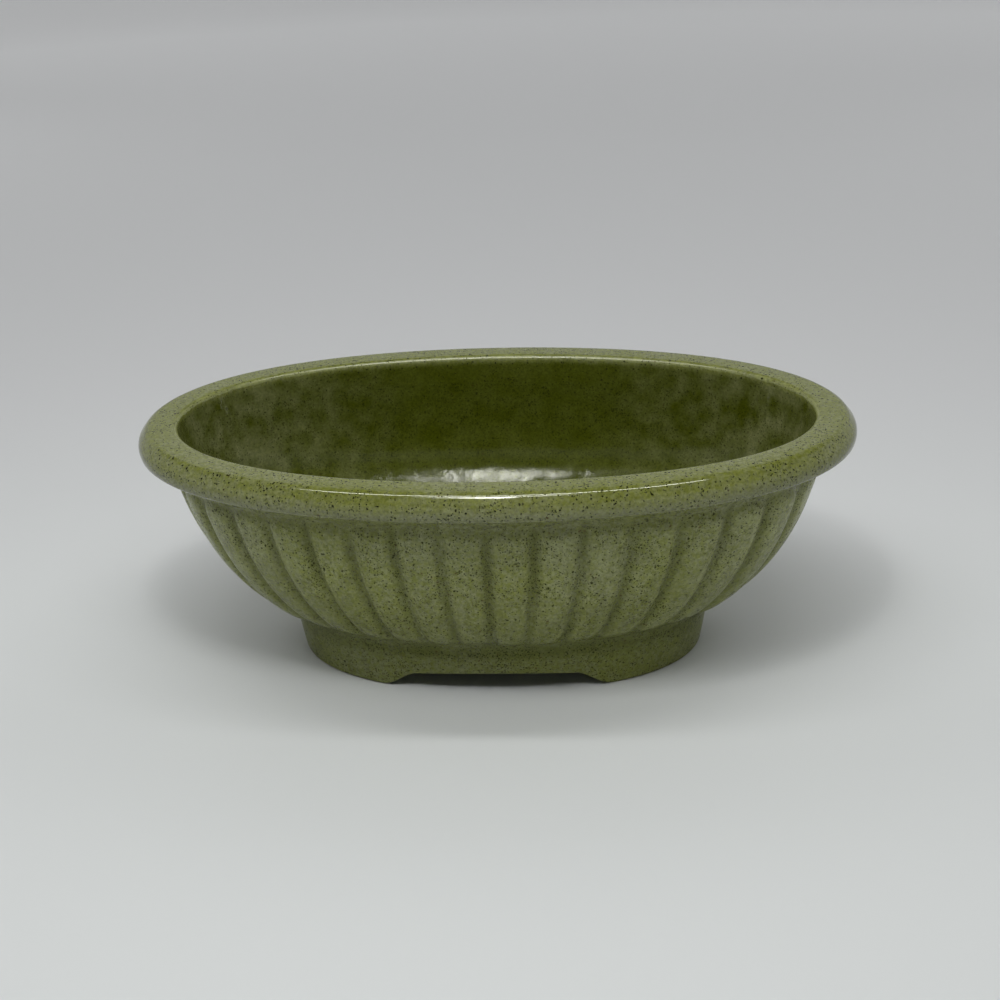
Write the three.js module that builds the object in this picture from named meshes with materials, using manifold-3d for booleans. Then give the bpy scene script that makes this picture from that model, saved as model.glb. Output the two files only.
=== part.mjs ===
// Oval planter bowl: a fluted ceramic wall on a floor slab and a foot ring, with a rolled rim.
// Millimetres, +Z up. The origin is on the ground under the middle of the bowl, +X along its length.
import * as THREE from 'three';
import { mergeVertices } from 'three/addons/utils/BufferGeometryUtils.js';
import Module from 'manifold-3d';

// Whole bowl
const bowlLength = 250;
const bowlWidth = 142;
const bowlHeight = 88;
const ovalFullness = 0.046; // 0 is an ellipse, more is squarer

// Rim band
const rimBreadth = 13.4; // outermost edge to inner edge
const rimDepth = 9.8; // underside to top
const rimCrown = 0.6; // fall of the domed top towards either edge
const rimCrestIn = 2.6; // outermost edge to the crest above the face
const rimBellyDrop = 5.4; // top to the widest line of the face
const rimInnerRound = 2;
const rimLowerRound = 2.2;
const rimFaceLean = 1.9; // how far the face draws in towards its lower edge
const rimInnerLean = 1.7; // how far the inner face draws in towards the wall

// Fluted wall
const rimOverhang = 11.6; // outermost rim to the foot of the grooves, at the wall's top
const wallFootLength = 146; // foot of the grooves where the wall meets the foot ring
const wallFootWidth = 90;
const wallFlareOut = 23; // reach of the flare above the foot
const wallFlareUp = 7.5;
const wallShoulderIn = 3.8; // upright stretch below the rim
const wallShoulderDown = 27.8;
const rimCoveOut = 5.5; // hollow sweep from the wall out to the rim's underside
const rimCoveDown = 9;
const rimCovePower = 1.6;
const innerDrop = 34; // pull of the inner curve below the rim
const innerReach = 26; // and out from the floor's edge

// Lobes round the wall
const lobeCount = 36;
const lobeRise = 1.5;
const lobeSquareness = 2.8; // 2 is a round back, more is flatter
const lobeTopGap = 6.5; // plain band between the rim and the lobes
const lobeFootGap = 7; // and between the lobes and the foot ring
const lobeEndRound = 6;
const lobeDrift = 0.0105; // share of a turn that the lobes lean round at the bowl's ends

// Floor slab
const floorThickness = 5.5; // at its middle
const floorLength = 131.4;
const dishRise = 9; // the floor's edge above its flat middle
const dishFlatLength = 56;
const lutingGap = 0.3; // slip joint between the floor's edge and the wall

// Foot ring
const footHeight = 19.5;
const footTopLength = 152;
const footTopWidth = 91;
const footTaper = 3.2; // drawn in from the top to the ground
const footLedge = 18; // breadth of the top, under wall and floor
const footBreadth = 9.6; // breadth on the ground
const footCornerRound = 1.5;
const archSpan = 80; // opening on the ground, front and back
const archTopSpan = 55;
const archHeight = 7.4; // at its middle
const archFall = 1.4; // lower where its top ends

// Smoothness
const lobeSteps = 6;
const plainSteps = 108;
const wallRows = 14;
const innerRows = 9;
const dishRings = 5;
const arcSteps = 2;

const wasm = await Module();
wasm.setup();

const rimSeat = bowlHeight - rimDepth;
const wallTopLength = bowlLength - 2 * rimOverhang;
const wallTopWidth = bowlWidth - 2 * rimOverhang;
const wallThickAtRim = rimBreadth + rimInnerLean - rimOverhang;
const floorTop = footHeight + floorThickness;
const floorInset = (wallFootLength - floorLength) / 2;

const glaze = new THREE.MeshStandardMaterial({ color: '#71774a', roughness: 0.38, metalness: 0 });
const innerGlaze = new THREE.MeshStandardMaterial({ color: '#565c2c', roughness: 0.25, metalness: 0 });

// An oval of the bowl's squareness, once round from the +X end.
class Oval extends THREE.Curve {
  constructor(halfLength, halfWidth, z = 0) {
    super();
    Object.assign(this, { halfLength, halfWidth, z });
  }

  getPoint(turn, target = new THREE.Vector3()) {
    const [c, s] = [Math.cos(2 * Math.PI * turn), Math.sin(2 * Math.PI * turn)];
    const x = this.halfLength * c * (1 + ovalFullness * s * s);
    const y = this.halfWidth * s * (1 + ovalFullness * c * c);
    return target.set(x, y, this.z);
  }
}

// Turns that space points evenly along an oval.
function evenTurns(oval, count) {
  return Array.from({ length: count }, (_, i) => oval.getUtoTmapping(i / count));
}

function ovalRing(halfLength, halfWidth, z, turns) {
  const oval = new Oval(halfLength, halfWidth, z);
  return turns.map((turn) => oval.getPoint(turn));
}

// A closed band: rings of equal count, each joined to the next and the last to the first.
function bandGeometry(rings) {
  const around = rings[0].length;
  const index = [];
  rings.forEach((ring, row) => {
    const next = ((row + 1) % rings.length) * around;
    ring.forEach((_, i) => {
      const j = (i + 1) % around;
      const [a, b, c, d] = [row * around + i, row * around + j, next + j, next + i];
      index.push(a, b, c, a, c, d);
    });
  });
  return indexedGeometry(rings.flat(), index);
}

// A closed disc: rings of equal count from a low pole to a high one.
function discGeometry(rings, lowPole, highPole) {
  const around = rings[0].length;
  const low = rings.length * around;
  const lastRow = low - around;
  const index = [];
  for (let i = 0; i < around; i += 1) {
    const j = (i + 1) % around;
    index.push(low, j, i, low + 1, lastRow + i, lastRow + j);
    for (let row = 0; row < lastRow; row += around) {
      const [a, b, c, d] = [row + i, row + j, row + around + j, row + around + i];
      index.push(a, b, c, a, c, d);
    }
  }
  return indexedGeometry([...rings.flat(), lowPole, highPole], index);
}

function indexedGeometry(points, index) {
  const geometry = new THREE.BufferGeometry().setFromPoints(points);
  geometry.setIndex(index);
  geometry.computeVertexNormals();
  return geometry;
}

// A band whose cross-section is a closed outline of (inset from an outer oval, height).
function sectionBand(outline, halfLength, halfWidth) {
  const turns = evenTurns(new Oval(halfLength, halfWidth), plainSteps);
  return bandGeometry(outline.map(({ x, y }) => ovalRing(halfLength - x, halfWidth - x, y, turns)));
}

function toSolid(geometry) {
  const bare = geometry.clone();
  bare.deleteAttribute('normal');
  bare.deleteAttribute('uv');
  const merged = mergeVertices(bare);
  const vertProperties = new Float32Array(merged.attributes.position.array);
  const triVerts = new Uint32Array(merged.index.array);
  return new wasm.Manifold(new wasm.Mesh({ numProp: 3, vertProperties, triVerts }));
}

function fromSolid(solid) {
  const { vertProperties, triVerts } = solid.getMesh();
  const geometry = new THREE.BufferGeometry();
  geometry.setAttribute('position', new THREE.BufferAttribute(vertProperties, 3));
  geometry.setIndex(new THREE.BufferAttribute(triVerts, 1));
  geometry.computeVertexNormals();
  return geometry;
}

function namedMesh(name, geometry, material) {
  const mesh = new THREE.Mesh(geometry, material);
  mesh.name = name;
  return mesh;
}

// Rim: a face that swells to its widest line, leans in to a crest, a domed top and a tighter inner edge.
function rimBand() {
  const edge = bowlHeight - rimCrown;
  const outline = new THREE.Path();
  outline.moveTo(rimBreadth + rimInnerLean, rimSeat);
  outline.lineTo(rimFaceLean + rimLowerRound, rimSeat);
  outline.quadraticCurveTo(rimFaceLean, rimSeat, rimFaceLean / 2, rimSeat + rimLowerRound);
  outline.quadraticCurveTo(0, bowlHeight - rimBellyDrop - rimLowerRound, 0, bowlHeight - rimBellyDrop);
  outline.quadraticCurveTo(0, edge - rimCrestIn, rimCrestIn, edge);
  outline.quadraticCurveTo(rimBreadth / 2, bowlHeight + rimCrown, rimBreadth - rimInnerRound, edge);
  outline.quadraticCurveTo(rimBreadth, edge, rimBreadth, edge - rimInnerRound);
  return namedMesh('rim_band', sectionBand(outline.getPoints(arcSteps), bowlLength / 2, bowlWidth / 2), glaze);
}

// Groove-level profile of the wall, half the bowl's length against height, foot to rim.
function wallProfile() {
  const foot = new THREE.Vector2(wallFootLength / 2, footHeight);
  const top = new THREE.Vector2(wallTopLength / 2, rimSeat);
  const flare = new THREE.Vector2(foot.x + wallFlareOut, foot.y + wallFlareUp);
  const shoulder = new THREE.Vector2(top.x - wallShoulderIn, top.y - wallShoulderDown);
  return new THREE.CubicBezierCurve(foot, flare, shoulder, top);
}

// Half the wall's width where half its length is known: both flare by the same share.
function halfWidthAt(halfLength) {
  const share = (halfLength - wallFootLength / 2) / (wallTopLength / 2 - wallFootLength / 2);
  return THREE.MathUtils.lerp(wallFootWidth / 2, wallTopWidth / 2, share);
}

// Height of a lobe, 0 to 1, across it (-1 to 1) and up it: a rounded bar with domed ends.
function lobeHeight(across, alongFoot, alongTop) {
  const intoEnd = (distance, gap) => THREE.MathUtils.clamp(1 - (distance - gap) / lobeEndRound, 0, 1);
  const end = Math.max(intoEnd(alongFoot, lobeFootGap), intoEnd(alongTop, lobeTopGap));
  return Math.sqrt(Math.max(0, 1 - Math.abs(across) ** lobeSquareness - end ** 2));
}

// How far the wall sweeps out just below the rim.
function coveAt(alongTop) {
  return rimCoveOut * THREE.MathUtils.clamp(1 - alongTop / rimCoveDown, 0, 1) ** rimCovePower;
}

// Inner profile of the wall, half the bowl's length against height, rim to the floor's edge.
function innerProfile() {
  const top = new THREE.Vector2(wallTopLength / 2 - wallThickAtRim, rimSeat);
  const edge = new THREE.Vector2(floorLength / 2, floorTop + dishRise);
  const rimLean = rimInnerLean / rimDepth;
  const floorSlope = 2 * dishRise / (edge.x - dishFlatLength / 2);
  const below = new THREE.Vector2(top.x - rimLean * innerDrop, top.y - innerDrop);
  const beyond = new THREE.Vector2(edge.x + innerReach, edge.y + floorSlope * innerReach);
  return new THREE.CubicBezierCurve(top, below, beyond, edge);
}

// Half the inside's width where half its length is known.
function insideHalfWidthAt(halfLength) {
  const [low, high] = [floorLength / 2, wallTopLength / 2 - wallThickAtRim];
  const share = (halfLength - low) / (high - low);
  return THREE.MathUtils.lerp(wallFootWidth / 2 - floorInset, wallTopWidth / 2 - wallThickAtRim, share);
}

// Wall: lobed outside, plain inside, flat where it meets the rim, the floor and the foot ring.
function flutedWall() {
  const profile = wallProfile();
  const length = profile.getLength();
  const middle = profile.getPointAt(0.5);
  const turns = evenTurns(new Oval(middle.x, halfWidthAt(middle.x)), lobeCount * lobeSteps)
    .map((turn) => turn + lobeDrift * Math.cos(2 * Math.PI * turn) ** 2);
  const normalAt = (share) => profile.getTangentAt(share).rotateAround(new THREE.Vector2(), -Math.PI / 2);

  const outer = Array.from({ length: wallRows + 1 }, (_, row) => {
    const share = (1 - Math.cos(Math.PI * row / wallRows)) / 2; // rows draw together at both ends
    const base = profile.getPointAt(share);
    const cove = coveAt((1 - share) * length);
    const normal = normalAt(share);
    return turns.map((turn, i) => {
      const across = 2 * (i % lobeSteps) / lobeSteps - 1;
      const rise = lobeRise * lobeHeight(across, share * length, (1 - share) * length);
      const swell = rise * normal.x + cove;
      return new Oval(base.x + swell, halfWidthAt(base.x) + swell, base.y + rise * normal.y).getPoint(turn);
    });
  });

  const inside = innerProfile();
  const inner = inside.getSpacedPoints(innerRows).map(({ x, y }) => ovalRing(x, insideHalfWidthAt(x), y, turns));
  const butt = ovalRing(floorLength / 2, wallFootWidth / 2 - floorInset, footHeight, turns);
  return namedMesh('fluted_wall', bandGeometry([...outer, ...inner, butt]), glaze);
}

// Floor: an oval slab on the foot ring's ledge, inside the wall, flat in its middle and dished up to its edge.
function bowlFloor() {
  const halfLength = floorLength / 2 - lutingGap;
  const halfWidth = wallFootWidth / 2 - floorInset - lutingGap;
  const turns = evenTurns(new Oval(halfLength, halfWidth), plainSteps);
  const flatShare = dishFlatLength / floorLength;
  const dish = Array.from({ length: dishRings + 1 }, (_, row) => {
    const up = 1 - row / dishRings;
    const share = THREE.MathUtils.lerp(flatShare, 1, up);
    return ovalRing(halfLength * share, halfWidth * share, floorTop + dishRise * up ** 2, turns);
  });
  const under = ovalRing(halfLength, halfWidth, footHeight, turns);
  const poles = [footHeight, floorTop].map((z) => new THREE.Vector3(0, 0, z));
  return namedMesh('bowl_floor', discGeometry([under, ...dish], ...poles), innerGlaze);
}

// Arch: a low opening with S-shaped ends, cut from front to back through the foot ring.
function archCutter() {
  const half = archSpan / 2;
  const halfTop = archTopSpan / 2;
  const bend = (half - halfTop) / 2;
  const outline = new THREE.Shape();
  outline.moveTo(-half, -archHeight);
  outline.lineTo(-half, 0);
  const shoulder = archHeight - archFall;
  outline.bezierCurveTo(-half + bend, 0, -halfTop - bend, shoulder, -halfTop, shoulder);
  outline.quadraticCurveTo(0, archHeight + archFall, halfTop, shoulder);
  outline.bezierCurveTo(halfTop + bend, shoulder, half - bend, 0, half, 0);
  outline.lineTo(half, -archHeight);
  const depth = 2 * footTopWidth;
  const geometry = new THREE.ExtrudeGeometry(outline, { depth, bevelEnabled: false, curveSegments: 4 * arcSteps });
  geometry.rotateX(Math.PI / 2);
  geometry.translate(0, depth / 2, 0);
  return geometry;
}

// Foot ring: tapers towards the ground, with a broad ledge on top, and stands on its two ends.
function footRing() {
  const outline = new THREE.Path();
  outline.moveTo(0, footHeight);
  outline.lineTo(footLedge, footHeight);
  outline.lineTo(footTaper + footBreadth, footHeight - footBreadth);
  outline.lineTo(footTaper + footBreadth, 0);
  outline.lineTo(footTaper + footCornerRound, 0);
  outline.quadraticCurveTo(footTaper, 0, footTaper, footCornerRound);
  const ring = sectionBand(outline.getPoints(arcSteps), footTopLength / 2, footTopWidth / 2);
  const arched = toSolid(ring).subtract(toSolid(archCutter()));
  return namedMesh('foot_ring', fromSolid(arched), glaze);
}

const planter = new THREE.Group();
planter.add(flutedWall(), bowlFloor(), rimBand(), footRing());

export default planter;
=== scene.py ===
# Looks of the oval planter bowl: a speckled green glaze over fluted, lofted ceramic
import math
import bpy
import numpy as np
from mathutils import Matrix, Vector


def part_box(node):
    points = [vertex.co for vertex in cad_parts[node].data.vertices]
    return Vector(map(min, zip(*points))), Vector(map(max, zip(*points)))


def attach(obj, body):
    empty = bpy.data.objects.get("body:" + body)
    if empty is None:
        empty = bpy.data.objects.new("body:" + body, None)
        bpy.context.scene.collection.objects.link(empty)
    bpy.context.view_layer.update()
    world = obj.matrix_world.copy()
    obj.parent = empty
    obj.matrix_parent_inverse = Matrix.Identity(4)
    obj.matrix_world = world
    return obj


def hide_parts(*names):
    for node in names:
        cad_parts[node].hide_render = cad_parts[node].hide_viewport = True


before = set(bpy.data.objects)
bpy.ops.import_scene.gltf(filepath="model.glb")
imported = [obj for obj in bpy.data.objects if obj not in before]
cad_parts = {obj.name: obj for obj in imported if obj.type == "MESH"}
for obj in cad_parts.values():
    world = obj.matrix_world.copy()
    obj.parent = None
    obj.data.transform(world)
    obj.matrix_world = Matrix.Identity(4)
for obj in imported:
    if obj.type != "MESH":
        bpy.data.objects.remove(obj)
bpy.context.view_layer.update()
mm = 0.001

rimLow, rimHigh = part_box("rim_band")
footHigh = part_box("foot_ring")[1]
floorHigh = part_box("bowl_floor")[1]

bowl = {
    "halfLength": rimHigh[0],
    "halfWidth": rimHigh[1],
    "top": rimHigh[2],
    "rimSeat": rimLow[2],
    "footTop": footHigh[2],
    "floorEdge": floorHigh[2],  # where the dished floor meets the wall
    "fullness": 0.046,  # 0 is an ellipse, more is squarer
    "sharpAngle": 40,  # edges turning more than this stay crisp
}


# Oval: x = a cos(1 + f sin^2), y = b sin(1 + f cos^2), once round from the +X end
def ovalXY(halfLength, halfWidth, turn):
    c, s = np.cos(2 * np.pi * turn), np.sin(2 * np.pi * turn)
    full = bowl["fullness"]
    return halfLength * c * (1 + full * s * s), halfWidth * s * (1 + full * c * c)


# Turns that space points evenly: the oval's running length, read backwards
def evenTurns(halfLength, halfWidth, count):
    turn = np.linspace(0, 1, 8 * count + 1)
    x, y = ovalXY(halfLength, halfWidth, turn)
    run = np.concatenate([[0], np.cumsum(np.hypot(np.diff(x), np.diff(y)))])
    return np.interp(np.arange(count) / count * run[-1], run, turn)


# Outline with rounded corners: each corner is cut back by r / tan(half angle) and bridged by an arc
def roundedOutline(corners, radii, steps):
    corners = np.asarray(corners, float)
    pieces = []
    for i, radius in enumerate(radii):
        here = corners[i]
        if radius == 0:
            pieces.append(here[None])
            continue
        back = corners[i - 1] - here
        ahead = corners[(i + 1) % len(corners)] - here
        back, ahead = back / np.linalg.norm(back), ahead / np.linalg.norm(ahead)
        half = math.acos(np.clip(back @ ahead, -1, 1)) / 2
        middle = (back + ahead) / np.linalg.norm(back + ahead)
        centre = here + middle * radius / math.sin(half)
        start = here + back * radius / math.tan(half) - centre
        side = np.sign(start[0] * middle[1] - start[1] * middle[0])
        angle = -side * np.linspace(0, math.pi - 2 * half, steps + 1)
        cosine, sine = np.cos(angle), np.sin(angle)
        turned = np.stack([start[0] * cosine - start[1] * sine, start[0] * sine + start[1] * cosine], 1)
        pieces.append(centre + turned)
    return np.concatenate(pieces)


# Points along an outline, spaced no wider than a step, with its own corners kept
def refine(outline, step):
    closed = np.concatenate([outline, outline[:1]])
    parts = []
    for start, end in zip(closed[:-1], closed[1:]):
        count = max(1, int(np.ceil(np.linalg.norm(end - start) / step)))
        parts.append(start + (end - start) * np.arange(count)[:, None] / count)
    return np.concatenate(parts)


# Closed band: a grid of points (row, around), every row joined to the next and the last to the first
def bandObject(name, points):
    rows, around = points.shape[:2]
    index = np.arange(rows * around).reshape(rows, around)
    right, below = np.roll(index, -1, 1), np.roll(index, -1, 0)
    quads = np.stack([index, right, np.roll(below, -1, 1), below], -1).reshape(-1, 4)
    return meshObject(name, points.reshape(-1, 3), quads, bowl["sharpAngle"])


def meshObject(name, points, faces, sharpAngle):
    mesh = bpy.data.meshes.new(name)
    mesh.from_pydata(points.tolist(), [], [list(face) for face in faces])
    mesh.polygons.foreach_set("use_smooth", np.ones(len(faces), bool))
    mesh.set_sharp_from_angle(angle=math.radians(sharpAngle))
    piece = bpy.data.objects.new(name, mesh)
    bpy.context.scene.collection.objects.link(piece)
    return piece


# Layers that the glaze reads: pool_and_shade is where it runs deep, and painted shade in the grooves, under
# the rim, above the foot and low on the rim's face; lip is paler lines along edges, partly glaze breaking
# thin and partly painted highlight, film_and_light the pale top coat and painted light that pales upper
# faces and crowns, inside the darker bath, and bare the clay it was wiped off
def paintLayers(piece, layers, shape):
    for label, values in layers.items():
        layer = piece.data.attributes.new(label, "FLOAT", "POINT")
        full = np.broadcast_to(np.clip(values, 0, 1), shape)
        layer.data.foreach_set("value", full.astype(np.float32).ravel())


# Smooth rise from 0 to 1 between two values
def easeBetween(low, high, value):
    t = np.clip((value - low) / (high - low), 0, 1)
    return t * t * (3 - 2 * t)


# Bell of height 1 about a middle, with a width
def bell(middle, width, value):
    return np.exp(-((value - middle) / width) ** 2)


wall = {
    "topInset": 11.6 * mm,  # rim's outermost edge to the foot of the grooves
    "footHalfLength": 73.0 * mm,
    "footHalfWidth": 45.0 * mm,
    "flareOut": 23.0 * mm,
    "flareUp": 7.5 * mm,
    "shoulderIn": 3.8 * mm,
    "shoulderDown": 27.8 * mm,
    "thickAtRim": 3.5 * mm,
    "coveOut": 5.5 * mm,  # sweep from the wall out under the rim
    "coveDown": 9.0 * mm,
    "covePower": 1.6,
    "floorJoint": 65.7 * mm,  # half length of the floor's opening
    "dishRise": 9.0 * mm,  # the floor's edge above its flat middle
    "innerDrop": 34.0 * mm,  # inner curve's pull below the rim
    "innerReach": 26.0 * mm,  # and out from the floor
    "rows": 99,
    "endRows": 0.45,  # how far the rows crowd towards the wall's ends
    "innerRows": 36,
    "curveSteps": 2000,
}

lobes = {
    "count": 36,
    "steps": 20,
    "rise": 1.5 * mm,
    "edgeShare": 0.46,  # rounded edge as a share of half a lobe
    "crown": 0.30,  # share of the rise that is an even swell
    "grooveSoft": 0.9 * mm,
    "topGap": 6.5 * mm,
    "topFade": 5.5 * mm,
    "footGap": 6.0 * mm,
    "footFade": 10.0 * mm,
    "endRound": 2.6 * mm,  # the ends' middles reach past their sides
    "drift": 0.0105,  # share of a turn that the lobes lean round at the bowl's ends
    "uneven": 0.14,  # hand-made spread of the lobes' rise
    "wander": 0.03,  # and of the grooves' path, in half lobes
    "bends": (2, 7),  # least and most of it up the wall, in half radians
    "echo": 0.04 * mm,  # the lobes' faint print on the inside
    "seed": 11,
}

wallGlaze = {
    "grooveWide": 1.7 * mm,
    "grooveFade": (2 * mm, 8 * mm),  # from the rim down
    "patchy": 0.28,  # the grooves' run of thick and thin glaze
    "patches": (3, 9),  # least and most of it up the wall, in radians
    # painted shade under the rim's overhang and above the foot, both laid into pool_and_shade
    "underRim": 0.16,
    "underRimFade": (11 * mm, 7 * mm),
    "underLobes": 0.95,
    "underLobesFade": (18.5 * mm, 8.5 * mm),
    # pale line along each lobe's edge: partly glaze breaking thin, partly painted highlight
    "lip": 0.4,
    "lipAt": 2.8 * mm,  # from the groove
    "lipWide": 0.8 * mm,
    # film_and_light: the pale top coat and painted light, paler up the wall and on the lobes' crowns, dimmer
    # just under the rim
    "filmLeast": 0.1,
    "filmLightClimb": (0.2, 0.95),  # shares of the wall's height
    "filmFade": (6 * mm, 11 * mm),
    "filmGroove": 0.45,
}


# Cubic curve through two end points with two pulls, resampled evenly by its own length
def evenCurve(start, pullA, pullB, end, shares):
    u = np.linspace(0, 1, wall["curveSteps"] + 1)[:, None]
    curve = (1 - u) ** 3 * start + 3 * u * (1 - u) ** 2 * pullA + 3 * u * u * (1 - u) * pullB + u ** 3 * end
    run = np.concatenate([[0], np.cumsum(np.linalg.norm(np.diff(curve, axis=0), axis=1))])
    at = shares * run[-1]
    point = np.stack([np.interp(at, run, curve[:, 0]), np.interp(at, run, curve[:, 1])], 1)
    slope = np.gradient(curve, axis=0)
    slope = np.stack([np.interp(at, run, slope[:, 0]), np.interp(at, run, slope[:, 1])], 1)
    slope /= np.linalg.norm(slope, axis=1, keepdims=True)
    return point, np.stack([slope[:, 1], -slope[:, 0]], 1), run[-1]


# Wall profile at the bottom of the grooves: half length against height, foot to rim
def wallProfile(shares):
    low = np.array([wall["footHalfLength"], bowl["footTop"]])
    top = np.array([bowl["halfLength"] - wall["topInset"], bowl["rimSeat"]])
    flare = low + [wall["flareOut"], wall["flareUp"]]
    shoulder = top - [wall["shoulderIn"], wall["shoulderDown"]]
    return evenCurve(low, flare, shoulder, top, shares)


# Half width that goes with a half length: even between the foot's and the rim's
def wallHalfWidth(halfLength):
    topLength = bowl["halfLength"] - wall["topInset"]
    topWidth = bowl["halfWidth"] - wall["topInset"]
    share = (halfLength - wall["footHalfLength"]) / (topLength - wall["footHalfLength"])
    return wall["footHalfWidth"] + (topWidth - wall["footHalfWidth"]) * share


# Round edge: 0 at the border, rising as a parabola to 1 at the given width
def roundEdge(distance, width):
    return 1 - (1 - np.clip(distance / width, 0, 1)) ** 2


# Lobe height: a round edge across from the groove, times a round edge at each end, plus a crown across
def lobeHeight(fromGroove, halfPitch, fromFoot, fromTop):
    soft = lobes["grooveSoft"]
    side = np.sqrt(fromGroove ** 2 + soft ** 2) - soft
    across = roundEdge(side, lobes["edgeShare"] * halfPitch)
    crown = roundEdge(fromGroove, halfPitch)
    tip = lobes["endRound"] * np.clip(1 - fromGroove / halfPitch, 0, 1) ** 2
    ends = roundEdge(fromFoot - lobes["footGap"] - tip, lobes["footFade"])
    ends = ends * roundEdge(fromTop - lobes["topGap"] - tip, lobes["topFade"])
    return ends * ((1 - lobes["crown"]) * across + lobes["crown"] * crown)


# Turns of the wall's columns: even along the wall's middle, leaning round towards the bowl's ends
def lobeTurns(around):
    middle = wallProfile(np.array([0.5]))[0][0, 0]
    turn = evenTurns(middle, wallHalfWidth(middle), around)
    return turn + lobes["drift"] * np.cos(2 * np.pi * turn) ** 2


# Inner face: a cubic from the rim to the floor's edge and on down the joint, with the lobes' faint print
def innerWall(turn, across, spread):
    topInset = wall["topInset"] + wall["thickAtRim"]
    topWidth = bowl["halfWidth"] - topInset
    inTop = np.array([bowl["halfLength"] - topInset, bowl["rimSeat"]])
    inFoot = np.array([wall["floorJoint"], bowl["floorEdge"]])
    drop, reach = wall["innerDrop"], wall["innerReach"]
    lean = rim["innerLean"] / (bowl["top"] - bowl["rimSeat"])
    rake = 2 * wall["dishRise"] / (wall["floorJoint"] - slab["flatHalf"])
    base, _, _ = evenCurve(inTop, inTop - [lean * drop, drop], inFoot + [reach, rake * reach], inFoot,
                           np.linspace(0, 1, wall["innerRows"] + 1))
    footWidth = wall["footHalfWidth"] - wall["footHalfLength"] + wall["floorJoint"]
    share = (base[:, :1] - inFoot[0]) / (inTop[0] - inFoot[0])
    ripple = lobes["echo"] * np.cos(np.pi * across) * spread * np.sin(np.pi * share) ** 2
    x, y = ovalXY(base[:, :1] - ripple, footWidth + (topWidth - footWidth) * share - ripple, turn)
    face = np.stack([x, y, np.broadcast_to(base[:, 1:], x.shape)], -1)
    jointX, jointY = ovalXY(wall["floorJoint"], footWidth, turn)
    joint = np.stack([jointX, jointY, np.full(turn.shape, bowl["footTop"])], -1)
    return np.concatenate([face, joint[None]])


# Wall: a grid of rows up the profile and columns across the lobes, raised along the profile's normal
def buildWall():
    count, steps = lobes["count"], lobes["steps"]
    column = np.arange(count * steps)
    even = np.linspace(0, 1, wall["rows"] + 1)
    shares = (1 - wall["endRows"]) * even + wall["endRows"] * (1 - np.cos(np.pi * even)) / 2
    point, normal, length = wallProfile(shares)
    turn = lobeTurns(len(column))
    across = 2 * (column % steps) / steps - 1
    which, beside = column // steps, ((column + steps // 2) // steps) % count
    dice = np.random.default_rng(lobes["seed"])
    spread = (1 + lobes["uneven"] * dice.uniform(-1, 1, count))[which]
    phase = dice.uniform(0, 2 * np.pi, count)[which]
    bend = dice.uniform(*lobes["bends"], count)[which]
    patchPhase = dice.uniform(0, 2 * np.pi, count)[beside]
    patchCount = dice.uniform(*wallGlaze["patches"], count)[beside]

    halfLength, halfWidth = point[:, :1], wallHalfWidth(point[:, :1])
    ringX, ringY = ovalXY(halfLength, halfWidth, turn)
    ringStep = np.hypot(ringX - np.roll(ringX, -1, 1), ringY - np.roll(ringY, -1, 1))
    halfPitch = ringStep.sum(1, keepdims=True) / count / 2
    up = shares[:, None]
    fromFoot = up * length
    fromTop = length - fromFoot
    wander = lobes["wander"] * np.sin(2 * bend * up + phase) * np.cos(np.pi * across / 2)
    fromGroove = (1 - np.abs(across)) * (1 + wander) * halfPitch
    height = lobeHeight(fromGroove, halfPitch, fromFoot, fromTop)
    rise = lobes["rise"] * height * spread
    swell = wall["coveOut"] * np.clip(1 - fromTop / wall["coveDown"], 0, 1) ** wall["covePower"]
    out = rise * normal[:, :1] + swell
    outerX, outerY = ovalXY(halfLength + out, halfWidth + out, turn)
    outer = np.stack([outerX, outerY, point[:, 1:] + rise * normal[:, 1:]], -1)
    points = np.concatenate([outer, innerWall(turn, across, spread)])
    piece = bandObject("fluted_wall_glazed", points)

    look = wallGlaze
    patchy = 1 - look["patchy"] + look["patchy"] * np.sin(patchCount * up + patchPhase)
    # glaze pooled in the grooves, and painted shade there
    groove = patchy * bell(0, look["grooveWide"], fromGroove) * easeBetween(*look["grooveFade"], fromTop)
    # painted shade under the rim and above the foot
    paintedShade = look["underRim"] * easeBetween(*look["underRimFade"], fromTop)
    paintedShade = paintedShade + look["underLobes"] * easeBetween(*look["underLobesFade"], fromFoot)
    # painted light: paler up the wall, dimmer just under the rim, paler on the lobes' crowns
    paintedLightClimb = look["filmLeast"] + (1 - look["filmLeast"]) * easeBetween(*look["filmLightClimb"], up)
    paintedLightClimb = paintedLightClimb * easeBetween(*look["filmFade"], fromTop)
    within = np.zeros((len(points) - len(outer), len(column)))
    layers = {
        "pool_and_shade": np.maximum(groove, paintedShade),
        "lip": look["lip"] * bell(look["lipAt"], look["lipWide"], fromGroove) * height,
        "film_and_light": paintedLightClimb * (look["filmGroove"] + (1 - look["filmGroove"]) * height ** 2),
        "inside": np.zeros(height.shape),
    }
    layers = {label: np.concatenate([values, within]) for label, values in layers.items()}
    layers["inside"][len(outer):] = 1
    paintLayers(piece, layers, points.shape[:2])
    print("wall:", points.shape[0], "rows of", len(column))
    return piece


rim = {
    "breadth": 13.9 * mm,
    "innerLean": 1.7 * mm,
    "lowerLean": 1.9 * mm,
    "bellyDrop": 5.4 * mm,  # the face's widest line below the top
    "crown": 0.12 * mm,  # fall of the domed top towards either edge
    "crownShift": 0.4 * mm,  # the dome's middle, outwards from the top's middle
    "crownBlend": 2.0 * mm,
    "crestIn": 4.1 * mm,
    "crestRound": 3.0 * mm,
    "bellyRound": 5.6 * mm,
    "innerRound": 1.7 * mm,
    "lowerRound": 2.8 * mm,
    "arcSteps": 14,
    "spacing": 0.6 * mm,
    "around": 600,
}

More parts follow.
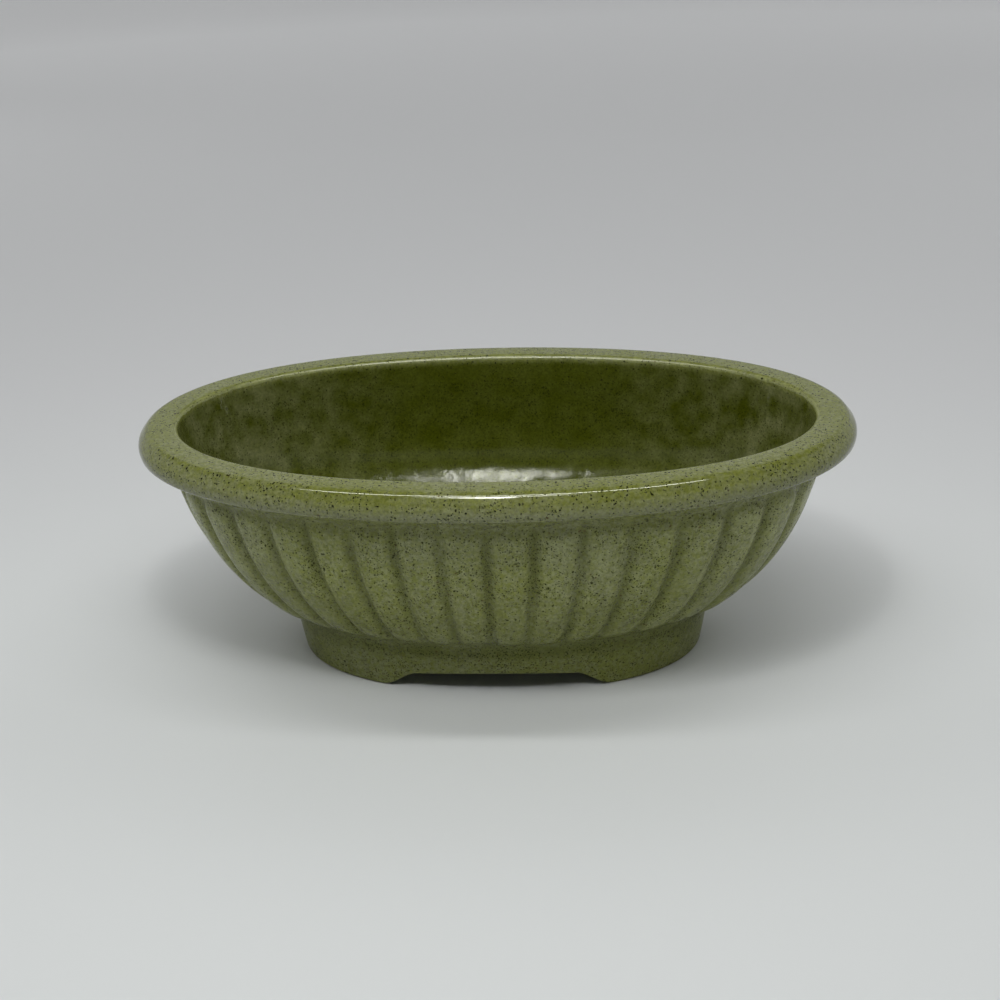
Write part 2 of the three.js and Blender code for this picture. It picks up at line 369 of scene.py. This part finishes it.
rimGlaze = {
    "innerFrom": 1.2 * mm,  # where the section turns down into the bowl
    "insideFade": (0.8 * mm, 3.8 * mm),  # below the top
    # pale lines on the inner lip, the crest and the lower edge: partly glaze breaking thin, partly painted
    # highlight
    "innerLip": 0.7,
    "innerLipIn": 0.3 * mm,
    "innerLipWide": 1.1 * mm,
    "innerLipFade": (4.0 * mm, 1.4 * mm),
    "crestLip": 0.12,
    "crestDown": 2.4 * mm,
    "crestWide": 1.6 * mm,
    "crestFade": (5.0 * mm, 1.5 * mm),
    "lowerLip": 0.5,
    "lowerDown": 8.9 * mm,
    "lowerWide": 0.5 * mm,
    "lowerFade": (5.0 * mm, 2.0 * mm),
    "pool_and_shade": 0.38,
    "shadeBelow": 0.15,  # painted shade: more of it under the belly
    "poolFade": (3.0 * mm, 8.0 * mm),
}


# Rim: a rounded section of (inset, height) carried round the bowl's oval, its top domed by a parabola
def buildRim():
    edge = bowl["top"] - rim["crown"]
    corners = [
        (wall["topInset"] + wall["thickAtRim"], bowl["rimSeat"]),
        (rim["lowerLean"], bowl["rimSeat"]),
        (0, bowl["top"] - rim["bellyDrop"]),
        (rim["crestIn"], edge),
        (rim["breadth"], edge),
    ]
    radii = [0, rim["lowerRound"], rim["bellyRound"], rim["crestRound"], rim["innerRound"]]
    section = refine(roundedOutline(corners, radii, rim["arcSteps"]), rim["spacing"])
    short = section[:, 0].min()
    section[:, 0] -= short * (1 - section[:, 0] / section[:, 0].max())  # belly out to the full size
    middle = (rim["breadth"] + rim["crestIn"]) / 2 - rim["crownShift"]
    half = (rim["breadth"] - rim["crestIn"]) / 2
    dome = np.clip(1 - ((section[:, 0] - middle) / half) ** 2, 0, 1)
    section[:, 1] += rim["crown"] * dome * easeBetween(edge - rim["crownBlend"], edge, section[:, 1])
    turn = evenTurns(bowl["halfLength"], bowl["halfWidth"], rim["around"])
    x, y = ovalXY(bowl["halfLength"] - section[:, :1], bowl["halfWidth"] - section[:, :1], turn)
    points = np.stack([x, y, np.broadcast_to(section[:, 1:], x.shape)], -1)
    piece = bandObject("rim_band_glazed", points)

    look = rimGlaze
    inset, down = section[:, :1], bowl["top"] - section[:, 1:]
    within = easeBetween(rim["breadth"] - look["innerFrom"], rim["breadth"], inset)
    # painted highlight and glaze break: pale lines on the inner lip, crest and lower edge
    lips = look["innerLip"] * bell(rim["breadth"] - look["innerLipIn"], look["innerLipWide"], inset)
    lips = lips * easeBetween(*look["innerLipFade"], down)
    for name in ("crest", "lower"):
        line = bell(look[name + "Down"], look[name + "Wide"], down)
        lips = lips + look[name + "Lip"] * line * easeBetween(*look[name + "Fade"], inset)
    # painted shade: darker under the belly
    pool_and_shade = look["pool_and_shade"] + look["shadeBelow"] * easeBetween(*look["poolFade"], down)
    layers = {
        "pool_and_shade": pool_and_shade * (1 - within),
        "lip": lips,
        "film_and_light": 0.0,
        "inside": within * easeBetween(*look["insideFade"], down),
    }
    paintLayers(piece, layers, points.shape[:2])
    print("rim:", points.shape[0], "rows of", rim["around"])
    return piece


foot = {
    "taper": 3.2 * mm,
    "ledge": 18.0 * mm,
    "breadth": 9.6 * mm,
    "cornerRound": 1.5 * mm,
    "coveRound": 2.0 * mm,  # inside, under the floor
    "filletDrop": 3.6 * mm,  # luting that closes the corner under the lobes
    "filletClimb": 2.6 * mm,
    "filletGap": 1.0 * mm,  # the face ends this far below it
    "tuckIn": 8.0 * mm,  # how far its last row runs in under the wall
    "archHalf": 40.0 * mm,
    "archTopHalf": 27.5 * mm,
    "archHeight": 7.4 * mm,  # at its middle
    "archFall": 1.4 * mm,  # lower where its top ends
    "arcSteps": 8,
    "filletSteps": 12,
    "profileSteps": 400,  # points of the wall's profile that the luting follows
    "spacing": 1.0 * mm,
    "around": 720,
}

footGlaze = {
    "poolThin": 0.82,  # thinner than full on the outer face
    "shadeNearTop": 0.65,  # and back again towards the top, painted shade under the lobes
    "poolFade": (0.5, 0.9),  # shares of the foot's height
    # pale line along the foot's lower edge: partly glaze breaking thin, partly painted highlight
    "lip": 0.7,
    "lipUp": 0.8 * mm,
    "lipWide": 0.6 * mm,
    "wiped": (0.35 * mm, 0.05 * mm),  # height that is bare clay
}


# Luting fillet: a square curve from the foot's face, by its corner with the wall, out along the wall
def luting(turn, halfLength, halfWidth):
    point, _, _ = wallProfile(np.linspace(0, 1, foot["profileSteps"]))
    width = wallHalfWidth(point[:, 0])
    atEnds = np.interp(halfLength, point[:, 0], point[:, 1])
    atFront = np.interp(halfWidth, width, point[:, 1])
    c, s = np.cos(2 * np.pi * turn), np.sin(2 * np.pi * turn)
    corner = atEnds * c * c + atFront * s * s
    low, high = corner - foot["filletDrop"], corner + foot["filletClimb"]
    inset = foot["taper"] * (bowl["footTop"] - low) / bowl["footTop"]
    wide, deep = (np.interp(high, point[:, 1], size) for size in (point[:, 0], width))
    start = np.stack([*ovalXY(halfLength - inset, halfWidth - inset, turn), low], -1)
    bend = np.stack([*ovalXY(halfLength, halfWidth, turn), corner], -1)
    end = np.stack([*ovalXY(wide, deep, turn), high], -1)
    u = np.linspace(0, 1, foot["filletSteps"])[:, None, None]
    return (1 - u) ** 2 * start + 2 * u * (1 - u) * bend + u * u * end


# Foot ring: a tapered section round an oval, its lower part lifted over the arch, its top luted to the wall
def buildFoot():
    halfLength, halfWidth, top = footHigh[0], footHigh[1], bowl["footTop"]
    innerInset = foot["taper"] + foot["breadth"]
    faceTop = top - foot["filletDrop"] - foot["filletGap"]
    corners = [
        (foot["ledge"], top),
        (innerInset, top - foot["breadth"]),
        (innerInset, 0),
        (foot["taper"], 0),
        (foot["taper"] * (1 - faceTop / top), faceTop),
    ]
    radii = [0, foot["coveRound"], foot["cornerRound"], foot["cornerRound"], 0]
    section = refine(roundedOutline(corners, radii, foot["arcSteps"]), foot["spacing"])
    last = int(np.argmin(np.linalg.norm(section - corners[-1], axis=1)))
    section = section[:last + 1]
    turn = evenTurns(halfLength, halfWidth, foot["around"])
    x, y = ovalXY(halfLength - section[:, :1], halfWidth - section[:, :1], turn)
    crown = foot["archHeight"] - foot["archFall"] * np.clip(x / foot["archTopHalf"], -1, 1) ** 2
    lift = crown * easeBetween(foot["archHalf"], foot["archTopHalf"], np.abs(x))
    z = section[:, 1:] + lift * np.clip(1 - section[:, 1:] / faceTop, 0, 1)
    fillet = luting(turn, halfLength, halfWidth)
    hiddenX, hiddenY = ovalXY(halfLength - foot["tuckIn"], halfWidth - foot["tuckIn"], turn)
    hidden = np.stack([hiddenX, hiddenY, np.full(turn.shape, top)], -1)
    points = np.concatenate([np.stack([x, y, z], -1), fillet, hidden[None]])
    piece = bandObject("foot_ring_glazed", points)

    look = footGlaze
    extra = len(points) - len(section)
    low = np.concatenate([section[:, 1], np.full(extra, top)])[:, None]
    outward = easeBetween(innerInset, foot["taper"], section[:, 0])
    outward = np.concatenate([outward, np.zeros(extra)])[:, None]
    # painted shade: the foot's face darker towards its top under the lobes; its inner faces and the luting
    # fully deep
    thin = look["poolThin"] - look["shadeNearTop"] * easeBetween(*look["poolFade"], low / top)
    layers = {
        "pool_and_shade": 1 - outward * thin,
        "lip": look["lip"] * outward * bell(look["lipUp"], look["lipWide"], low),
        "film_and_light": 0.0,
        "inside": 0.0,
        "bare": easeBetween(*look["wiped"], points[..., 2]),
    }
    paintLayers(piece, layers, points.shape[:2])
    print("foot:", points.shape[0], "rows of", foot["around"])
    return piece


slab = {
    "around": 360,
    "rings": 32,
    "joint": 0.02 * mm,
    "flatHalf": 28.0 * mm,  # half length of its flat middle
}


# Floor: rings from the edge of the disc to its middle, flat inside and dished as a square outside
def buildFloor():
    halfLength = wall["floorJoint"] - slab["joint"]
    halfWidth = wall["footHalfWidth"] - wall["footHalfLength"] + wall["floorJoint"] - slab["joint"]
    turn = evenTurns(halfLength, halfWidth, slab["around"])
    share = np.linspace(1, 0, slab["rings"] + 1)[:-1, None]
    x, y = ovalXY(halfLength * share, halfWidth * share, turn)
    flat = slab["flatHalf"] / wall["floorJoint"]
    floorTop = bowl["floorEdge"] - wall["dishRise"]
    dish = floorTop + wall["dishRise"] * np.clip((share - flat) / (1 - flat), 0, 1) ** 2
    top = np.stack([x, y, np.broadcast_to(dish, x.shape)], -1)
    under = np.stack([x, y, np.full(x.shape, bowl["footTop"])], -1)[::-1]
    points = np.concatenate([under, top])
    rows, around = points.shape[:2]
    index = np.arange(rows * around).reshape(rows, around)
    right = np.roll(index, -1, 1)
    quads = np.stack([index[:-1], right[:-1], right[1:], index[1:]], -1).reshape(-1, 4)
    poles = np.array([[0, 0, bowl["footTop"]], [0, 0, floorTop]])
    low, high = rows * around, rows * around + 1
    lowCap = np.stack([right[0], index[0], np.full(around, low)], -1)
    highCap = np.stack([index[-1], right[-1], np.full(around, high)], -1)
    faces = quads.tolist() + lowCap.tolist() + highCap.tolist()
    corners = np.concatenate([points.reshape(-1, 3), poles])
    piece = meshObject("bowl_floor_glazed", corners, faces, bowl["sharpAngle"])
    paintLayers(piece, {"pool_and_shade": 0.0, "lip": 0.0, "film_and_light": 0.0, "inside": 1.0}, len(corners))
    print("floor:", rows, "rings of", around)
    return piece


# Node group that takes a place and some numbers, all set or linked where it is used
def newGroup(name, numbers, outputs):
    group = bpy.data.node_groups.new(name, "ShaderNodeTree")
    group.interface.new_socket("Vector", in_out="INPUT", socket_type="NodeSocketVector")
    for label in numbers:
        group.interface.new_socket(label, in_out="INPUT", socket_type="NodeSocketFloat")
    for label, kind in outputs.items():
        group.interface.new_socket(label, in_out="OUTPUT", socket_type="NodeSocket" + kind)
    return group, group.nodes.new("NodeGroupInput"), group.nodes.new("NodeGroupOutput")


def addNode(tree, kind, links=None, **settings):
    node = tree.nodes.new(kind)
    for key, value in settings.items():
        setattr(node, key, value)
    for socket, value in (links or {}).items():
        target = node.inputs[socket]
        if isinstance(value, bpy.types.NodeSocket):
            tree.links.new(value, target)
        else:
            target.default_value = value
    return node


def math2(tree, operation, a, b=0.0, c=0.0, clamp=False):
    node = addNode(tree, "ShaderNodeMath", {0: a, 1: b, 2: c}, operation=operation, use_clamp=clamp)
    return node.outputs[0]


def mixColour(tree, factor, a, b, blend="MIX"):
    node = addNode(tree, "ShaderNodeMix", {0: factor, 6: a, 7: b}, data_type="RGBA", blend_type=blend)
    return node.outputs[2]


def noiseNode(tree, vector, scale, detail, roughness):
    return addNode(tree, "ShaderNodeTexNoise",
                   {"Vector": vector, "Scale": scale, "Detail": detail, "Roughness": roughness})


def ramp(tree, value, low, high, outLow=0.0, outHigh=1.0, curve="LINEAR"):
    node = addNode(tree, "ShaderNodeMapRange", {0: value, 1: low, 2: high, 3: outLow, 4: outHigh},
                   interpolation_type=curve)
    return node.outputs[0]


glazeTints = {
    "sage": (0.198, 0.212, 0.098, 1),
    "olive": (0.148, 0.165, 0.031, 1),
    # deep glaze, also the colour of painted shade
    "deep": (0.092, 0.104, 0.015, 1),
    # paler colour of edges, also painted highlight
    "edge": (0.215, 0.232, 0.068, 1),
    "inner": (0.057, 0.069, 0.003, 1),
    # painted sheen: reflected light on the inside towards the bowl's ends
    "paintedSheen": (0.130, 0.139, 0.054, 1),
    "speck": (0.032, 0.035, 0.007, 1),
    "rust": (0.070, 0.040, 0.010, 1),
    "shine": (1.0, 1.0, 0.93, 1),
}

glazeNoise = {  # features per metre, detail and roughness
    "cloud": (30.0, 3.0, 0.5),
    "flock": (70.0, 2.0, 0.5),
    "sway": (95.0, 1.0, 0.5),
    "blotch": (130.0, 3.0, 0.5),
    "peel": (380.0, 2.0, 0.5),
    "fleck": (620.0, 3.0, 0.6),
    "grain": (1100.0, 2.0, 0.65),
}

glazeRamps = {  # from, to, and what they become
    "cloudTone": (0.35, 0.65, -0.05, 0.4),
    "fleckTone": (0.40, 0.60, 0.1, 0.9),
    "poolShadePatch": (0.35, 0.65, 0.45, 1.1),
    "lipPatch": (0.35, 0.65, 0.35, 0.9),
    # painted sheen inside, stronger towards the bowl's ends
    "sheenAlong": (0.035, 0.1, 0.1, 0.85),  # metres from the bowl's middle
    "sheenPatch": (0.3, 0.7, 0.0, 1.3),
    "grainShade": (0.3, 0.7, 0.74, 1.26),
    "blotchShade": (0.3, 0.7, 0.9, 1.1),
    "crowd": (0.3, 0.7, 0.2, 1.65),
    "insideSpecks": (0.0, 1.0, 1.0, 0.45),
    "roughPatch": (0.3, 0.7, -0.05, 0.05),
}

glazeShares = {
    "filmTone": -0.4,
    # painted light: how much film_and_light pales the colour
    "filmLightGain": 0.55,
    "poolCrowd": 1.3,  # more specks where pool_and_shade is high
    "lipRough": 0.3,
    "insideRough": -0.12,
    "speckRough": 0.12,
    "speckMetal": 0.85,
    "swayHeight": 3.0,
    "speckHeight": 0.12,
}

speckShape = {
    "sizeLeast": 0.5,
    "sizeSpread": 0.8,
    "edge": (0.55, 1.15, 1.0, 0.0),
    "warp": (0.0009, 0.0009, 0.0009),  # pulls the dots out of round, in metres
    "warpNoise": (800.0, 1.0, 0.5),
}

speckKinds = (  # cells per metre, share of the cells with a dot, dot size, depth and tint
    (1400.0, 0.48, 0.37, 0.95, "speck"),
    (900.0, 0.42, 0.31, 1.0, "speck"),
    (500.0, 0.17, 0.21, 1.0, "speck"),
    (620.0, 0.06, 0.24, 0.8, "rust"),
)


# Iron specks: one dot in some of the cells of a cell pattern, each of its own size
def speckGroup():
    group, source, result = newGroup("glazeSpecks", ("Scale", "Share", "Size"), {"Mask": "Float"})
    cells = addNode(group, "ShaderNodeTexVoronoi",
                    {"Vector": source.outputs["Vector"], "Scale": source.outputs["Scale"]})
    pick = addNode(group, "ShaderNodeSeparateColor", {0: cells.outputs["Color"]})
    here = math2(group, "LESS_THAN", pick.outputs[0], source.outputs["Share"])
    grown = math2(group, "MULTIPLY_ADD", pick.outputs[1], speckShape["sizeSpread"], speckShape["sizeLeast"])
    size = math2(group, "MULTIPLY", source.outputs["Size"], grown)
    edge = math2(group, "DIVIDE", cells.outputs["Distance"], size)
    dot = ramp(group, edge, *speckShape["edge"], curve="SMOOTHSTEP")
    group.links.new(math2(group, "MULTIPLY", dot, here), result.inputs["Mask"])
    return group


# Glaze: cloudy sage and olive, deeper where it pools and where shade is painted, paler where it breaks over
# edges and where highlights and light are painted, with a painted sheen inside towards the ends, dark specks
# over all
def glazeGroup(specks):
    numbers = ("Pool_and_shade", "Lip", "Inside", "Film_and_light", "Specks", "Dull")
    outputs = {"Colour": "Color", "Rough": "Float", "Metal": "Float", "Height": "Float"}
    group, source, result = newGroup("speckledGlaze", numbers, outputs)
    place = source.outputs["Vector"]
    pool_and_shade, lip, inside, film_and_light, crowding, dull = (source.outputs[key] for key in numbers)
    noise = {key: noiseNode(group, place, *values).outputs["Fac"] for key, values in glazeNoise.items()}
    blotch, share, tint = noise["blotch"], glazeShares, glazeTints

    def shaped(value, key):
        return ramp(group, value, *glazeRamps[key])

    thick = math2(group, "MULTIPLY_ADD", film_and_light, share["filmTone"], shaped(noise["cloud"], "cloudTone"))
    tone = math2(group, "ADD", shaped(noise["fleck"], "fleckTone"), thick, clamp=True)
    colour = mixColour(group, tone, tint["sage"], tint["olive"])
    # deep glaze and painted shade
    pooledShade = math2(group, "MULTIPLY", pool_and_shade, shaped(blotch, "poolShadePatch"))
    colour = mixColour(group, pooledShade, colour, tint["deep"])
    # pale lip lines: glaze break and painted highlight
    broken = math2(group, "MULTIPLY", lip, shaped(blotch, "lipPatch"))
    colour = mixColour(group, broken, colour, tint["edge"])
    along = math2(group, "ABSOLUTE", addNode(group, "ShaderNodeSeparateXYZ", {0: place}).outputs[0])
    # painted sheen inside towards the ends
    sheenMask = math2(group, "MULTIPLY", shaped(along, "sheenAlong"), shaped(blotch, "sheenPatch"), clamp=True)
    colour = mixColour(group, inside, colour, mixColour(group, sheenMask, tint["inner"], tint["paintedSheen"]))
    # painted light: film_and_light pales the colour
    pale = math2(group, "MULTIPLY_ADD", film_and_light, share["filmLightGain"], 1.0)
    shade = math2(group, "MULTIPLY", pale, shaped(noise["grain"], "grainShade"))
    shade = math2(group, "MULTIPLY", shade, shaped(blotch, "blotchShade"))
    colour = mixColour(group, 1.0, colour, shade, "MULTIPLY")

    warp = noiseNode(group, place, *speckShape["warpNoise"]).outputs["Color"]
    warped = addNode(group, "ShaderNodeVectorMath", {0: warp, 1: speckShape["warp"], 2: place},
                     operation="MULTIPLY_ADD").outputs[0]
    crowd = math2(group, "MULTIPLY", shaped(noise["flock"], "crowd"), crowding)
    crowd = math2(group, "MULTIPLY", crowd, math2(group, "MULTIPLY_ADD", pool_and_shade, share["poolCrowd"], 1.0))
    fade = shaped(inside, "insideSpecks")
    dust = None
    for scale, cellShare, size, depth, speckTint in speckKinds:
        dots = addNode(group, "ShaderNodeGroup", node_tree=specks)
        group.links.new(warped, dots.inputs["Vector"])
        group.links.new(math2(group, "MULTIPLY", crowd, cellShare), dots.inputs["Share"])
        dots.inputs["Scale"].default_value = scale
        dots.inputs["Size"].default_value = size
        mask = math2(group, "MULTIPLY", math2(group, "MULTIPLY", dots.outputs["Mask"], depth), fade)
        colour = mixColour(group, mask, colour, tint[speckTint])
        dust = mask if dust is None else math2(group, "MAXIMUM", dust, mask)

    rough = math2(group, "ADD", dull, shaped(blotch, "roughPatch"))
    for value, key in ((inside, "insideRough"), (lip, "lipRough"), (dust, "speckRough")):
        rough = math2(group, "MULTIPLY_ADD", value, share[key], rough)
    height = math2(group, "MULTIPLY_ADD", noise["sway"], share["swayHeight"], noise["peel"])
    height = math2(group, "MULTIPLY_ADD", dust, share["speckHeight"], height)
    group.links.new(colour, result.inputs["Colour"])
    group.links.new(rough, result.inputs["Rough"])
    group.links.new(math2(group, "MULTIPLY", dust, share["speckMetal"]), result.inputs["Metal"])
    group.links.new(height, result.inputs["Height"])
    return group


glazeLooks = {
    "outer_glaze": {"specks": 1.0, "bump": 0.00006, "shine": 0.34, "dull": 0.27},
    "inner_glaze": {"specks": 0.8, "bump": 0.00006, "shine": 0.34, "dull": 0.27},
    "rim_glaze": {"specks": 0.45, "bump": 0.00003, "shine": 1.0, "dull": 0.1},
    "foot_glaze": {"specks": 0.9, "bump": 0.00006, "shine": 0.25, "dull": 0.3, "clay": True},
}

clay = {  # where the glaze is wiped off
    "pale": (0.42, 0.34, 0.25, 1),
    "dark": (0.30, 0.23, 0.16, 1),
    "noise": (900.0, 3.0, 0.5),
    "patch": (0.35, 0.65),
    "rough": 0.5,
}


def glazeMaterial(name, look, glaze):
    material = bpy.data.materials.new(name)
    material.use_nodes = True
    tree = material.node_tree
    shader = tree.nodes["Principled BSDF"]
    coat = addNode(tree, "ShaderNodeGroup", node_tree=glaze)
    place = addNode(tree, "ShaderNodeTexCoord").outputs["Object"]
    tree.links.new(place, coat.inputs["Vector"])
    for label in ("pool_and_shade", "lip", "inside", "film_and_light"):
        layer = addNode(tree, "ShaderNodeAttribute", attribute_name=label)
        tree.links.new(layer.outputs["Fac"], coat.inputs[label.capitalize()])
    coat.inputs["Specks"].default_value = look["specks"]
    coat.inputs["Dull"].default_value = look["dull"]
    colour, rough = coat.outputs["Colour"], coat.outputs["Rough"]
    if "clay" in look:
        bare = addNode(tree, "ShaderNodeAttribute", attribute_name="bare").outputs["Fac"]
        grit = noiseNode(tree, place, *clay["noise"]).outputs["Fac"]
        tone = mixColour(tree, ramp(tree, grit, *clay["patch"]), clay["pale"], clay["dark"])
        colour = mixColour(tree, bare, colour, tone)
        rough = math2(tree, "MULTIPLY_ADD", bare, clay["rough"], rough)
    tree.links.new(colour, shader.inputs["Base Color"])
    tree.links.new(rough, shader.inputs["Roughness"])
    tree.links.new(coat.outputs["Metal"], shader.inputs["Metallic"])
    shader.inputs["Specular IOR Level"].default_value = look["shine"]
    shader.inputs["Specular Tint"].default_value = glazeTints["shine"]
    bump = addNode(tree, "ShaderNodeBump",
                   {"Height": coat.outputs["Height"], "Strength": 1.0, "Distance": look["bump"]})
    tree.links.new(bump.outputs[0], shader.inputs["Normal"])
    return material


pieces = (
    (buildWall, "fluted_wall", "outer_glaze"),
    (buildFloor, "bowl_floor", "inner_glaze"),
    (buildRim, "rim_band", "rim_glaze"),
    (buildFoot, "foot_ring", "foot_glaze"),
)
glaze = glazeGroup(speckGroup())
for build, node, slotName in pieces:
    piece = build()
    piece.data.materials.append(glazeMaterial(slotName, glazeLooks[slotName], glaze))
    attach(piece, "root")
    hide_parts(node)
print("glaze laid on four pieces")

sweep = {
    "hub": 0.02,  # radius of the one face in the middle
    "flat": 1.6,
    "bend": 0.6,
    "height": 2.4,
    "flatRings": 11,
    "bendSteps": 24,
    "around": 96,
    "sharpAngle": 60,
    "dull": 0.7,
    "colour": (0.63, 0.65, 0.645, 1),
    "rear": (0.62, 0.63, 0.635, 1),
    "rearFade": (0.03, 0.25),  # painted shade: the paper darker from the bowl's middle to the back
    "glow": 0.31,
    "glowColour": (0.98, 0.99, 1.0, 1),
    "glowFade": (0.15, 1.5),  # from the bowl's middle outwards
    "glowPower": 1.2,
    "glowTop": (1.0, 1.8),  # heights between which it ends
}


# Sweep: a round floor whose rim turns up through a quarter circle into a wall all round
def buildSweep():
    flat, bend, rings = sweep["flat"], sweep["bend"], sweep["flatRings"]
    arc = np.linspace(0, np.pi / 2, sweep["bendSteps"] + 1)
    inner = np.linspace(sweep["hub"], flat, rings + 1)[:-1]
    radius = np.concatenate([inner, flat + bend * np.sin(arc), [flat + bend]])[:, None]
    height = np.concatenate([np.zeros(rings), bend * (1 - np.cos(arc)), [sweep["height"]]])[:, None]
    angle = np.linspace(0, 2 * np.pi, sweep["around"] + 1)[:-1]
    x, y = radius * np.cos(angle), radius * np.sin(angle)
    points = np.stack([x, y, np.broadcast_to(height, x.shape)], -1)
    index = np.arange(x.size).reshape(x.shape)
    right = np.roll(index, -1, 1)
    quads = np.stack([index[:-1], index[1:], right[1:], right[:-1]], -1).reshape(-1, 4)
    faces = quads.tolist() + [index[0].tolist()]
    sheet = meshObject("sweep", points.reshape(-1, 3), faces, sweep["sharpAngle"])
    sheet.data.materials.append(sweepPaper())


# Paper: grey, a little darker towards the back as painted shade, with a glow away from the bowl that the
# camera and mirrored rays see, but that lights nothing
def sweepPaper():
    paper = bpy.data.materials.new("sweepPaper")
    paper.use_nodes = True
    tree = paper.node_tree
    shader = tree.nodes["Principled BSDF"]
    shader.inputs["Roughness"].default_value = sweep["dull"]
    place = addNode(tree, "ShaderNodeTexCoord").outputs["Object"]
    axes = addNode(tree, "ShaderNodeSeparateXYZ", {0: place}).outputs
    tint = mixColour(tree, ramp(tree, axes[1], *sweep["rearFade"]), sweep["colour"], sweep["rear"])
    tree.links.new(tint, shader.inputs["Base Color"])
    path = addNode(tree, "ShaderNodeLightPath").outputs
    seen = math2(tree, "MAXIMUM", path["Is Camera Ray"], path["Is Glossy Ray"])
    seen = math2(tree, "MAXIMUM", seen, path["Is Transmission Ray"])
    far = addNode(tree, "ShaderNodeVectorMath", {0: place}, operation="LENGTH").outputs["Value"]
    pale = math2(tree, "POWER", ramp(tree, far, *sweep["glowFade"]), sweep["glowPower"])
    pale = math2(tree, "MULTIPLY", pale, ramp(tree, axes[2], *sweep["glowTop"], sweep["glow"], 0.0))
    shader.inputs["Emission Color"].default_value = sweep["glowColour"]
    tree.links.new(math2(tree, "MULTIPLY", seen, pale), shader.inputs["Emission Strength"])
    return paper


buildSweep()

view = {
    "azimuth": 4.1,
    "elevation": 25.084,
    "roll": -2.332,
    "distance": 571.5 * mm,
    "target": (1.01 * mm, 0.0, 54.18 * mm),
    "focalPixels": 1600.0,
    "imagePixels": 1000.0,
    "sensor": 36.0,
    "clipStart": 0.01,
}


def buildCamera():
    az, el, roll = (math.radians(view[key]) for key in ("azimuth", "elevation", "roll"))
    back = Vector((math.sin(az) * math.cos(el), -math.cos(az) * math.cos(el), math.sin(el)))
    right = (-back).cross(Vector((0, 0, 1))).normalized()
    up = right.cross(-back)
    tilted = right * math.cos(roll) + up * math.sin(roll)
    upright = up * math.cos(roll) - right * math.sin(roll)
    data = bpy.data.cameras.new("photoCamera")
    data.sensor_width = view["sensor"]
    data.lens = view["focalPixels"] / view["imagePixels"] * view["sensor"]
    data.clip_start = view["clipStart"]
    camera = bpy.data.objects.new("photoCamera", data)
    place = Vector(view["target"]) + back * view["distance"]
    camera.matrix_world = Matrix.Translation(place) @ Matrix((tilted, upright, back)).transposed().to_4x4()
    bpy.context.scene.collection.objects.link(camera)
    bpy.context.scene.camera = camera


buildCamera()

panels = {  # yaw, rise, reach, size, watts, spread of the beam, and whether the glaze mirrors it
    "overhead": (0.0, 83.0, 0.585, (0.60, 0.035), 1.0, 180.0, True),
    "broadPane": (-9.6, 63.0, 0.553, (0.050, 0.09), 0.30, 180.0, True),
    "tallPane": (-2.2, 62.0, 0.553, (0.020, 0.12), 0.28, 180.0, True),
    "nearPane": (14.9, 68.0, 0.556, (0.043, 0.035), 0.06, 180.0, True),
    "farPane": (-18.4, 63.0, 0.558, (0.016, 0.06), 0.05, 180.0, True),
    "farStreak": (-23.5, 64.0, 0.570, (0.020, 0.06), 0.02, 180.0, True),
    "link": (4.9, 69.0, 0.554, (0.039, 0.02), 0.027, 180.0, True),
    "key": (-8.0, 61.0, 1.0, (1.2, 0.2), 3.5, 180.0, False),
    "front": (0.0, 1.5, 1.2, (2.2, 0.12), 0.26, 50.0, False),
    "left": (-118.0, 30.0, 1.0, (1.2, 1.2), 0.95, 90.0, False),
    "right": (118.0, 30.0, 1.0, (1.2, 1.2), 1.05, 90.0, False),
    "rear": (180.0, 42.0, 1.4, (1.6, 1.0), 4.0, 180.0, False),
}

room = {
    "middle": 0.04,  # height in the bowl that the panels face
    "glow": 0.05,  # faint light from straight overhead
    "glowFade": (0.72, 1.0),
    "colour": (0.96, 0.985, 1.0, 1),
}


# Panel light at a yaw (0 is the front, plus is to the right), a height angle and a distance from the bowl
def panelLight(name, yaw, rise, reach, size, watts, spread, glints):
    data = bpy.data.lights.new(name, "AREA")
    data.shape = "RECTANGLE"
    data.size, data.size_y = size
    data.energy = watts
    data.spread = math.radians(spread)
    yaw, rise = math.radians(yaw), math.radians(rise)
    aim = Vector((math.sin(yaw) * math.cos(rise), -math.cos(yaw) * math.cos(rise), math.sin(rise)))
    lamp = bpy.data.objects.new(name, data)
    lamp.visible_camera = False
    lamp.visible_glossy = glints
    lamp.location = aim * reach + Vector((0, 0, room["middle"]))
    lamp.rotation_euler = (-aim).to_track_quat("-Z", "Y").to_euler()
    bpy.context.scene.collection.objects.link(lamp)


def buildRoom():
    for name, values in panels.items():
        panelLight(name, *values)
    world = bpy.data.worlds.new("room")
    bpy.context.scene.world = world
    world.use_nodes = True
    tree = world.node_tree
    toward = addNode(tree, "ShaderNodeTexCoord").outputs["Generated"]
    upward = addNode(tree, "ShaderNodeSeparateXYZ", {0: toward}).outputs[2]
    level = ramp(tree, upward, *room["glowFade"], 0.0, room["glow"], "SMOOTHSTEP")
    tree.nodes["Background"].inputs["Color"].default_value = room["colour"]
    tree.links.new(level, tree.nodes["Background"].inputs["Strength"])


buildRoom()
bpy.context.scene.view_settings.view_transform = "Standard"
print("sweep, camera and lights set")
